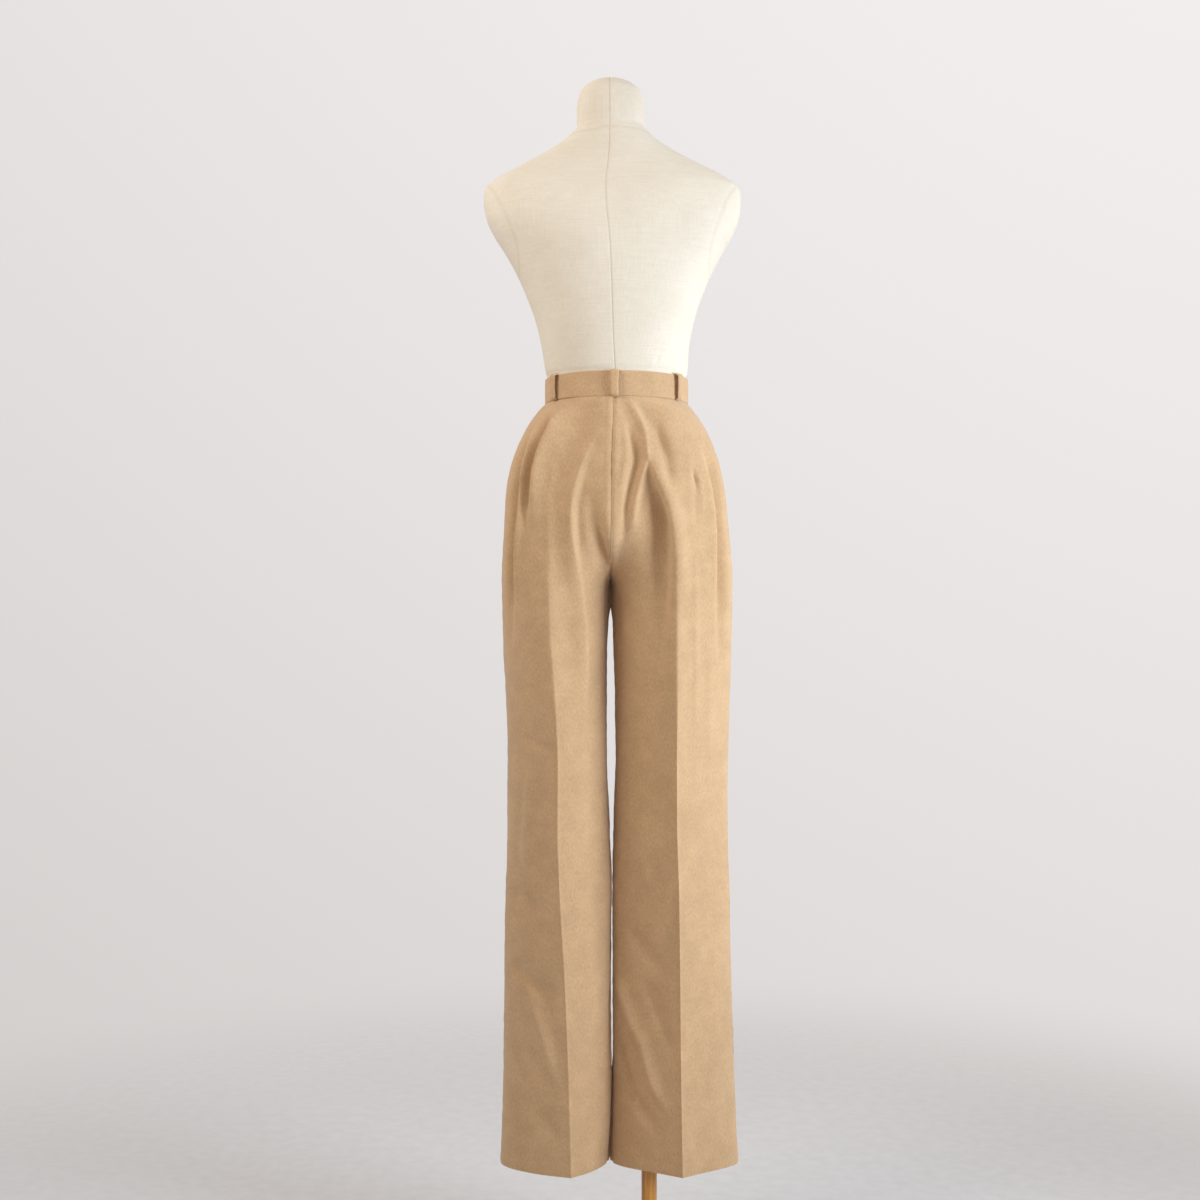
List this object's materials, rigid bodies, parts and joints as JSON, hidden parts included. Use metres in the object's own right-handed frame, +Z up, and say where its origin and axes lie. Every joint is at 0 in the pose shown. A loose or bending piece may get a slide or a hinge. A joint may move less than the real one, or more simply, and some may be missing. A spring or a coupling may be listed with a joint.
{
  "type": "straight-leg trousers on a dress form",
  "caption": "High-waisted wool trousers with pleated fronts and pressed straight legs, worn by a limbless cloth-covered dress form on a wooden pole and round base.",
  "frame": {"origin": "centre of the stand base's underside, on the floor, below the pole", "axes": "+Z up along the pole; the garment's front faces -Y and its back faces +Y; the wearer's left is +X. The body's centre plane is at x = 0.048, because the pole runs down inside the right leg"},
  "size_m": [0.3929, 0.3, 1.7415],
  "materials": {
    "wool": "brushed camel wool flannel with a soft nap",
    "form_cloth": "plain cream linen, closely woven",
    "pole_wood": "orange-brown varnish",
    "base_wood": "orange-brown varnish",
    "button": "satin, horn brown"
  },
  "bodies": {
    "root": {"back_left": "wool", "back_right": "wool", "front_left": "wool", "front_right": "wool", "fly": "wool", "waistband": "wool", "belt_loop_back": "wool", "belt_loop_left_side": "wool", "belt_loop_right_side": "wool", "belt_loop_left_front": "wool", "belt_loop_right_front": "wool", "waist_button": "button", "form_torso": "form_cloth", "stand_pole": "pole_wood", "stand_base": "base_wood"}
  },
  "joints": []
}
